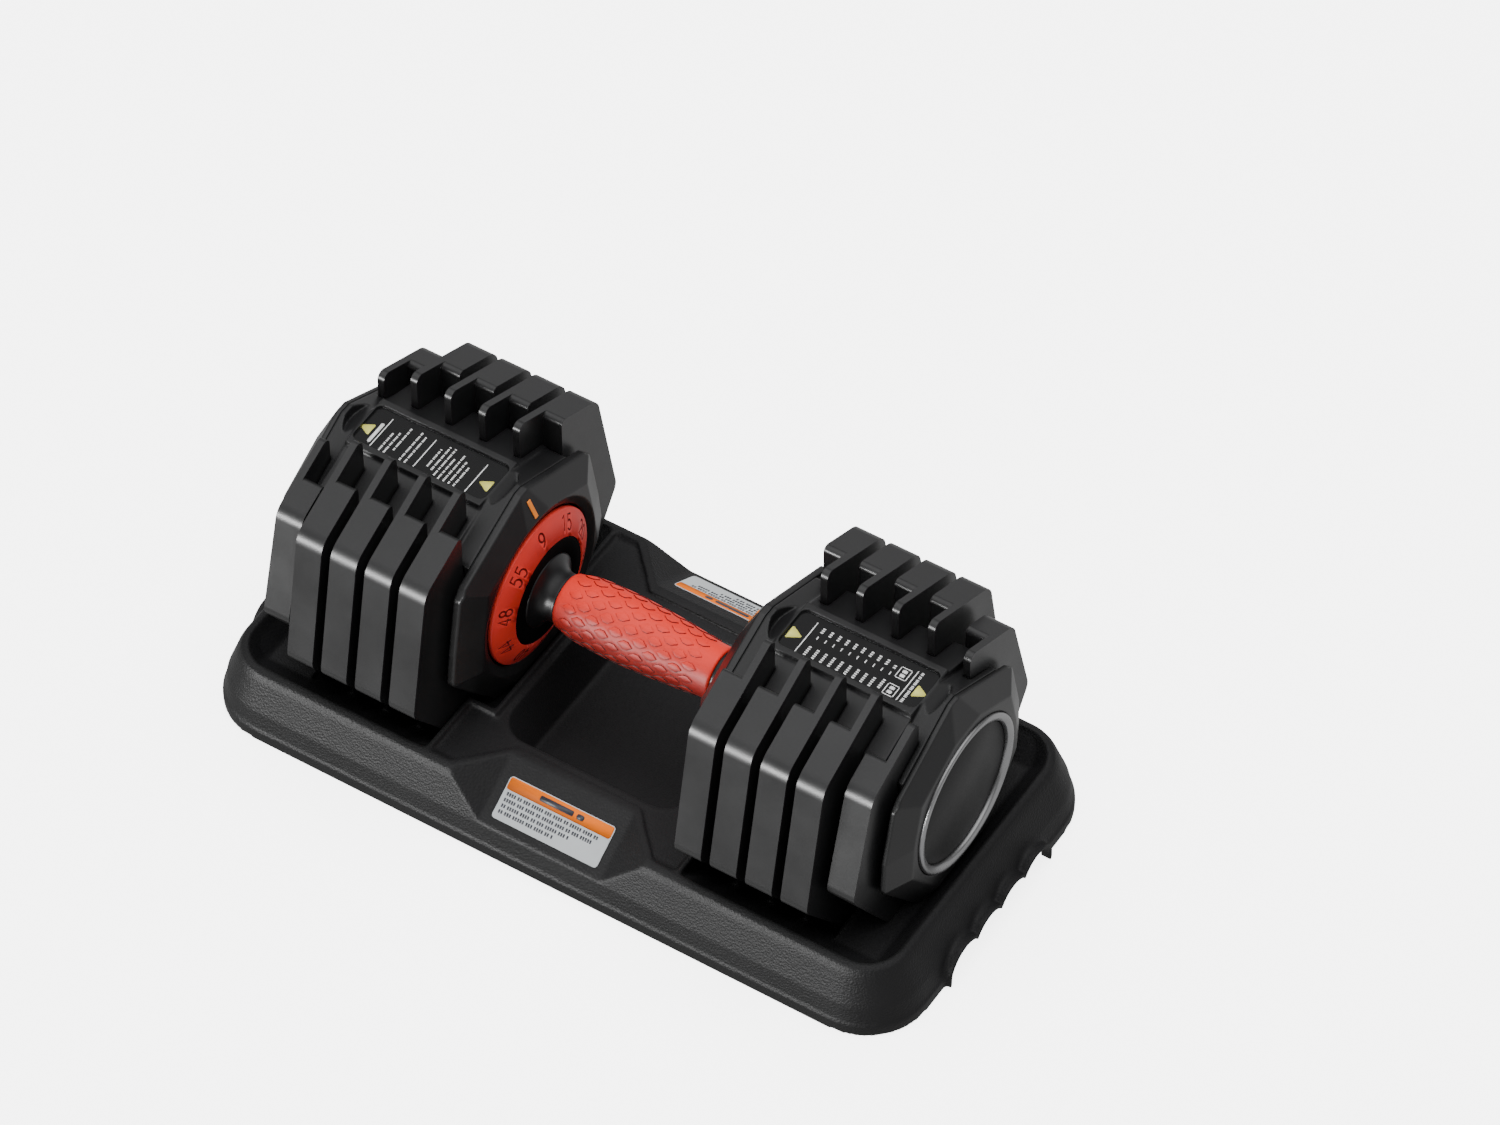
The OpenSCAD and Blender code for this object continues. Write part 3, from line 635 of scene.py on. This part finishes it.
def number_cutter(side):
    """Round strokes of all the settings, laid on the face of a dial ring."""
    curve = bpy.data.curves.new("number_strokes", "CURVE")
    curve.dimensions = "3D"
    curve.bevel_depth = STROKE_R * MM
    curve.bevel_resolution = 2
    curve.use_fill_caps = True
    for k, value in enumerate(SETTINGS):
        text = str(value)
        for n, digit in enumerate(text):
            shift = (n - (len(text) - 1) / 2) * DIGIT_PITCH - DIGIT_WIDTH / 2
            for stroke in DIGITS[digit]:
                add_stroke(curve, [on_dial(side, k * SETTING_ANGLE, u + shift, v) for u, v in stroke])
    strokes = bpy.data.objects.new("number_strokes", curve)
    bpy.context.scene.collection.objects.link(strokes)
    mesh = settled_mesh(strokes)
    bpy.data.objects.remove(strokes)
    mesh.materials.clear()
    mesh.materials.append(DIAL_RED)
    mesh.materials.append(DIAL_NUMBER_SHADE)
    # the cut faces of the numbers take the darker red, painted shade in the grooves
    mesh.polygons.foreach_set("material_index", [1] * len(mesh.polygons))
    return bpy.data.objects.new("number_cutter", mesh)


def sink_numbers(ring, side):
    """Cuts the numbers into a dial ring."""
    cutter = number_cutter(side)
    bpy.context.scene.collection.objects.link(cutter)
    cut = ring.modifiers.new("numbers", "BOOLEAN")
    cut.operation = "DIFFERENCE"
    cut.solver = "EXACT"
    cut.use_self = True
    cut.object = cutter
    mesh = settled_mesh(ring)
    ring.modifiers.remove(cut)
    ring.data = mesh
    bpy.data.objects.remove(cutter)


def build_number_ring(end, side):
    """The red ring, a shallow cone with the settings engraved in it."""
    profile = [(HUB_R + 2 * FIT, HUB_X), (DIAL_R - DIAL_CHAMFER, DIAL_X),
               (DIAL_R, DIAL_X + DIAL_CHAMFER), (DIAL_R, DIAL_BACK), (HUB_R + 2 * FIT, DIAL_BACK)]
    ring = make_piece(f"{end}_number_ring", lathe(profile, side, 192), "handle",
                      [DIAL_RED, DIAL_NUMBER_SHADE], [f"{end}_dial_ring"])
    sink_numbers(ring, side)
    soften_normals(ring, 90, True)


def build_hub(end, side):
    """The dark hub, with a wide flange behind the number ring."""
    flange_x = DIAL_BACK + 2 * FIT
    profile = [(TUBE_R + FIT, HUB_X + 0.6), (HUB_R - 1.2, HUB_X + 0.25), (HUB_R - 0.4, HUB_X + 0.4),
               (HUB_R, HUB_X + 0.9), (HUB_R, flange_x), (HUB_FLANGE_R, flange_x),
               (HUB_FLANGE_R, HUB_BACK), (TUBE_R + FIT, HUB_BACK)]
    make_piece(f"{end}_hub", lathe(profile, side), "handle", [HUB], [f"{end}_dial_hub"])


def build_collar(end, side):
    """The collar flares from the grip to the dial in one sweep."""
    flare = []
    for i in range(FLARE_STEPS + 1):
        t = i / FLARE_STEPS
        r = FLARE_R + FLARE_GROWTH * t**FLARE_POWER
        flare.append((r, GRIP_HX + 0.6 + (HUB_X - GRIP_HX) * t))
    start = GRIP_HX + FIT
    profile = [(TUBE_R + FIT, start), (FLARE_R - 0.6, start), (FLARE_R - 0.2, GRIP_HX + 0.2), *flare,
               (TUBE_R + FIT, HUB_X + 0.6)]
    make_piece(f"{end}_flare", lathe(profile, side), "handle", [COLLAR], [f"{end}_collar"])


def build_dials():
    """The number ring, hub and collar at each end of the grip."""
    for end, side in SIDES.items():
        build_number_ring(end, side)
        build_hub(end, side)
        build_collar(end, side)


# ---- end rings and discs ----


def build_ends():
    """The grey ring in each end cap, and the disc inside it."""
    for end, side in SIDES.items():
        inner_r = RING_R - 5
        ring = [(inner_r, RING_BACK), (RING_R, RING_BACK), (RING_R, RING_X - 1.0),
                (RING_R - 0.3, RING_X - 0.35), (RING_R - 1.0, RING_X), (DISC_R + 3.1, RING_X),
                (DISC_R + 1.0, RING_X - 0.8), (DISC_R + 0.4, RING_X - 1.4), (inner_r, DISC_X + 0.2)]
        make_piece(f"{end}_trim_ring", lathe(ring, side), "carrier", [RING_GREY],
                   [f"{end}_end_ring"])
        disc = [(0, RING_BACK), (DISC_R, RING_BACK), (DISC_R, DISC_X - 0.3), (DISC_R - 0.3, DISC_X),
                (0, DISC_X)]
        make_piece(f"{end}_face_disc", lathe(disc, side), "carrier", [CAP_DISC],
                   [f"{end}_end_disc"])


# ---- printed labels ----

PRINT_T = 0.12
WORD_LETTERS = (4, 2, 3, 5, 3, 4, 2, 5)


def flat_shape(bm, points, place, thick=PRINT_T, index=0):
    """A thin closed shape from an outline of (u, v) points, put in space by place(u, v, height)."""
    low = [bm.verts.new(place(u, v, 0)) for u, v in points]
    high = [bm.verts.new(place(u, v, thick)) for u, v in points]
    faces = [bm.faces.new(high), bm.faces.new(list(reversed(low)))]
    for i in range(len(points)):
        k = (i + 1) % len(points)
        faces.append(bm.faces.new((low[i], low[k], high[k], high[i])))
    for face in faces:
        face.material_index = index


def bar(u0, u1, v0, v1, r):
    """A bar with round corners of radius r."""
    return [*arc(u1 - r, v1 - r, r, 0, 90, 3), *arc(u0 + r, v1 - r, r, 90, 180, 3),
            *arc(u0 + r, v0 + r, r, 180, 270, 3), *arc(u1 - r, v0 + r, r, 270, 360, 3)]


def letters(v0, v1, first, width=0.72, gap=0.30):
    """Ends of the small bars that stand for a line of print; first picks the first word's length."""
    bars, v, n = [], v0, first
    while v + width < v1:
        for _ in range(WORD_LETTERS[n % len(WORD_LETTERS)]):
            if v + width < v1:
                bars.append((v, v + width))
            v += width + gap
        v += width * 0.8
        n += 1
    return bars


def triangle(u, v, size, turn):
    """An equilateral triangle with round corners; turn is the angle where a corner points."""
    points = []
    for n in range(3):
        corner = turn + 120 * n
        cu = u + (size - 1.4) * math.cos(math.radians(corner))
        cv = v + (size - 1.4) * math.sin(math.radians(corner))
        points += arc(cu, cv, 0.7, corner - 60, corner + 60, 4)
    return points


# ---- top labels, in millimetres along a label from its left end and across it from its middle ----

NEAR = -12.6
# rows of print as (place along, near end, far end)
LEFT_ROWS = [(16.5, NEAR, 1.7), (19.6, NEAR, 4.4), (23.0, -8.6, 9.6), (29.4, NEAR, 9.4),
             (32.6, NEAR, 8.6), (44.0, -8.5, 5.8), (47.2, -9.4, 9.6), (50.3, -11.8, 9.8),
             (53.4, NEAR, 3.9), (56.6, NEAR, 8.6), (59.8, NEAR, 5.1), (62.9, NEAR, 3.3)]
LEFT_RULES = (11.0, 38.0, 70.0)
RIGHT_RULES = (10.4, 70.2)
FIRST_SETTING = 58.5
SETTING_PITCH = 4.77
UNIT_BOX = (61.3, 67.9)


def on_label(start, top, u, v, h):
    """A point h over a top label whose left end is at start."""
    return (start + u, v, top + h)


def rule(bm, u, v0, v1, place):
    """A thin line across a label."""
    flat_shape(bm, bar(u - 0.3, u + 0.3, v0, v1, 0.25), place)


def unit_box(bm, v0, v1, place):
    """A thin frame round a pair of bars, where a unit is printed."""
    u0, u1 = UNIT_BOX
    edges = ((u0, u1, v0, v0 + 0.5), (u0, u1, v1 - 0.5, v1),
             (u0, u0 + 0.5, v0, v1), (u1 - 0.5, u1, v0, v1))
    for edge in edges:
        flat_shape(bm, bar(*edge, 0.1), place)
    middle = (u0 + u1) / 2
    for foot in (v0 + 1.5, v0 + 4.4):
        flat_shape(bm, bar(middle - 1.4, middle + 1.4, foot, foot + 2.0, 0.4), place)


def print_left(bm, place):
    """Two blocks of small print between rules, and a triangle at each end."""
    flat_shape(bm, bar(7.6, 9.5, -10.7, 4.0, 0.855), place)
    for n, (u, near, far) in enumerate(LEFT_ROWS):
        for v0, v1 in letters(near, far, n * 3):
            flat_shape(bm, bar(u - 0.55, u + 0.55, v0, v1, 0.2), place)
    for u in LEFT_RULES:
        rule(bm, u, NEAR, 9.2, place)
    flat_shape(bm, triangle(3.4, -2.9, 5.0, 180), place, index=1)
    flat_shape(bm, triangle(77.2, -2.8, 5.0, 180), place, index=1)


def print_right(bm, place):
    """A two-column table with a row for each setting, its heading, and a triangle at each end."""
    for n in range(len(SETTINGS)):
        u = FIRST_SETTING - n * SETTING_PITCH
        far, near = (7.2, -10.6) if n == 0 else (9.3, -12.2)
        for v0, v1 in letters(4.4, far, 3, 0.9, 0.5) + letters(near, -4.0, 3, 0.9, 0.5):
            flat_shape(bm, bar(u - 0.8, u + 0.8, v0, v1, 0.3), place)
        flat_shape(bm, bar(u - 0.3, u + 0.3, -0.4, 1.9, 0.2), place)
    for u in RIGHT_RULES:
        rule(bm, u, NEAR, 9.6, place)
    for v0, v1 in letters(-12.4, 9.8, 2):
        flat_shape(bm, bar(72.1, 73.7, v0, v1, 0.25), place)
    unit_box(bm, 0.0, 7.9, place)
    unit_box(bm, -12.4, -4.5, place)
    flat_shape(bm, triangle(3.5, -3.0, 5.4, 0), place, index=1)
    flat_shape(bm, triangle(77.4, -2.4, 5.2, 0), place, index=1)


def build_top_labels():
    """The dark film of each top label, from the frame, and the print on it."""
    for end, printer in (("left", print_left), ("right", print_right)):
        node = f"{end}_top_label"
        dress(node, FILM, 0.15)
        bm = bmesh.new()
        printer(bm, partial(on_label, span(node, 0)[0], span(node, 2)[1]))
        bmesh.ops.recalc_face_normals(bm, faces=bm.faces)
        make_piece(f"{end}_label_print", bm, "carrier", [PRINT, YELLOW])


# ---- panel labels, with v up the tilted panel from the middle of the label ----

PANEL_FOOT = (-101.8, 20.0)
PANEL_TILT = math.radians(32.2)
STICKER_UP = 17.4
STICKER_T = 0.4
STICKER_HX, STICKER_HV = 32.5, 11.9
TEXT_START = -STICKER_HX + 2.4
LINE_PITCH = 3.3
# length of each line of print, as a share of the longest that fits
LINE_LENGTHS = (0.96, 0.93, 0.70, 0.56)


def on_panel(way, u, v, h):
    """A point h over the front panel's label when way is 1, and over the rear one's when it is -1."""
    up = STICKER_UP + v
    rise = STICKER_T + h
    y = PANEL_FOOT[0] + up * math.cos(PANEL_TILT) - rise * math.sin(PANEL_TILT)
    z = PANEL_FOOT[1] + up * math.sin(PANEL_TILT) + rise * math.cos(PANEL_TILT)
    return (way * u, way * y, z)


def print_panel(bm, place):
    """An orange band with two dark bars, over lines of small print."""
    half = STICKER_HX - 0.6
    flat_shape(bm, bar(-half, half, 4.6, STICKER_HV - 0.5, 1.3), place)
    flat_shape(bm, bar(-12.5, 8.0, 6.6, 9.6, 0.8), place, PRINT_T * 2, 1)
    flat_shape(bm, bar(10.0, 14.5, 6.6, 9.6, 1.2), place, PRINT_T * 2, 1)
    for n, length in enumerate(LINE_LENGTHS):
        v = 2.4 - LINE_PITCH * n
        for u0, u1 in letters(TEXT_START, TEXT_START - 2 * TEXT_START * length, n * 3, 1.0, 0.45):
            flat_shape(bm, bar(u0, u1, v - 1.0, v + 1.0, 0.3), place, PRINT_T, 1)


def build_panel_stickers():
    """The pale labels on both panels, from the frame, and the print on them."""
    dress("tray_labels", STICKER, 0.12)
    bm = bmesh.new()
    for way in (1, -1):
        print_panel(bm, partial(on_panel, way))
    bmesh.ops.recalc_face_normals(bm, faces=bm.faces)
    make_piece("panel_print", bm, "tray", [ORANGE, INK])


# ---- CAD nodes that stay ----

# grid of a moulded part in millimetres, and how often it is smoothed
TRAY_MOULD = (1.0, 5)
PART_MOULD = (0.6, 4)


def dress_frame():
    """Materials and edges for the CAD nodes that no piece replaces."""
    mould("tray_shell", TRAY, *TRAY_MOULD)
    dress("tray_feet", RUBBER, 0.6)
    for end in SIDES:
        mould(f"{end}_housing", HOUSING, *PART_MOULD)
        mould(f"{end}_bridge", BRIDGE, *PART_MOULD)
        mould(f"{end}_end_cap", HOUSING, *PART_MOULD)
        dress(f"{end}_selector_discs", STEEL, 0.25)
    dress("index_marks", INDEX, 0.25)
    dress("centre_rod", STEEL, 0.6)
    dress("rod_nuts", ZINC, 0.4)
    dress("tube_bushes", BUSH, 0.3)
    dress("cap_screws", ZINC, 0.3)
    dress("handle_tube", STEEL, 0.3)
    dress("disc_spacers", BUSH, 0.2)


# ---- floor, light and camera ----

CENTRE = (0, 0, 0.08)
# brightness of the tent at heights from straight down, 0, to straight up, 1
TENT = [(0.0, 0.45), (0.42, 0.50), (0.50, 0.45), (0.62, 0.16), (0.78, 0.30), (0.95, 1.0)]
CAMERA_AZIMUTH = 32.58
CAMERA_ELEVATION = 49.10
CAMERA_ROLL = -0.18
CAMERA_PLACE = (1.35551, -2.01954, 2.95564)
CAMERA_LENS = 174.8


def build_floor():
    """A pale floor that neither lights the object from below nor shows in it."""
    bm = bmesh.new()
    bmesh.ops.create_grid(bm, x_segments=1, y_segments=1, size=20)
    mesh = bpy.data.meshes.new("floor")
    bm.to_mesh(mesh)
    bm.free()
    floor = bpy.data.objects.new("floor", mesh)
    white = surface("floor_white", (0.93, 0.93, 0.93), rough=0.75, patch=3, contrast=0.01, glow=4.5)
    mesh.materials.append(white)
    bpy.context.scene.collection.objects.link(floor)
    floor.visible_glossy = False
    floor.visible_diffuse = False


def area_light(name, place, size, power):
    """A soft box at place that faces the object; size is (width, height) in metres."""
    light = bpy.data.lights.new(name, "AREA")
    light.shape = "RECTANGLE"
    light.size, light.size_y = size
    light.energy = power
    lamp = bpy.data.objects.new(name, light)
    lamp.location = place
    lamp.rotation_euler = (Vector(CENTRE) - Vector(place)).to_track_quat("-Z", "Y").to_euler()
    bpy.context.scene.collection.objects.link(lamp)
    return lamp


def build_world():
    """A white tent: bright overhead, dim round the sides, and soft light from below in reflections."""
    world = bpy.data.worlds.new("studio")
    world.use_nodes = True
    nodes, links = world.node_tree.nodes, world.node_tree.links
    place = nodes.new("ShaderNodeTexCoord")
    split = nodes.new("ShaderNodeSeparateXYZ")
    level = nodes.new("ShaderNodeValToRGB")
    half = nodes.new("ShaderNodeMapRange")
    half.inputs["From Min"].default_value = -1
    links.new(place.outputs["Generated"], split.inputs["Vector"])
    links.new(split.outputs["Z"], half.inputs["Value"])
    links.new(half.outputs["Result"], level.inputs["Fac"])
    ramp = level.color_ramp
    ramp.interpolation = "EASE"
    while len(ramp.elements) < len(TENT):
        ramp.elements.new(0.5)
    for element, (height, bright) in zip(ramp.elements, TENT):
        element.position = height
        element.color = (bright, bright, bright, 1)
    links.new(level.outputs["Color"], nodes["Background"].inputs["Color"])
    nodes["Background"].inputs["Strength"].default_value = 1.3
    bpy.context.scene.world = world


def build_light():
    """The tent, a fill from overhead, and a strip in front that only shows as a highlight."""
    build_world()
    fill = area_light("overhead_fill", (0.0, 0.0, 3.0), (3.0, 3.0), 150)
    fill.visible_glossy = False
    strip = area_light("front_strip", (-1.0, -2.55, 0.30), (2.4, 0.6), 190)
    strip.visible_diffuse = False


def build_camera():
    """A long lens at the angle worked out for the photograph."""
    azimuth, elevation, roll = (math.radians(a) for a in (CAMERA_AZIMUTH, CAMERA_ELEVATION, CAMERA_ROLL))
    flat = math.cos(elevation)
    back = Vector((math.sin(azimuth) * flat, -math.cos(azimuth) * flat, math.sin(elevation)))
    right = Vector((math.cos(azimuth), math.sin(azimuth), 0))
    up = back.cross(right)
    level = Matrix((right, up, back)).transposed()
    camera = bpy.data.cameras.new("camera")
    camera.lens = CAMERA_LENS
    camera.sensor_width = 36
    camera.clip_end = 50
    view = bpy.data.objects.new("camera", camera)
    turn = (level @ Matrix.Rotation(roll, 3, "Z")).to_4x4()
    view.matrix_world = Matrix.Translation(CAMERA_PLACE) @ turn
    bpy.context.scene.collection.objects.link(view)
    bpy.context.scene.camera = view


build_plates()
build_grip()
build_dials()
build_ends()
build_top_labels()
build_panel_stickers()
dress_frame()
build_floor()
build_light()
build_camera()
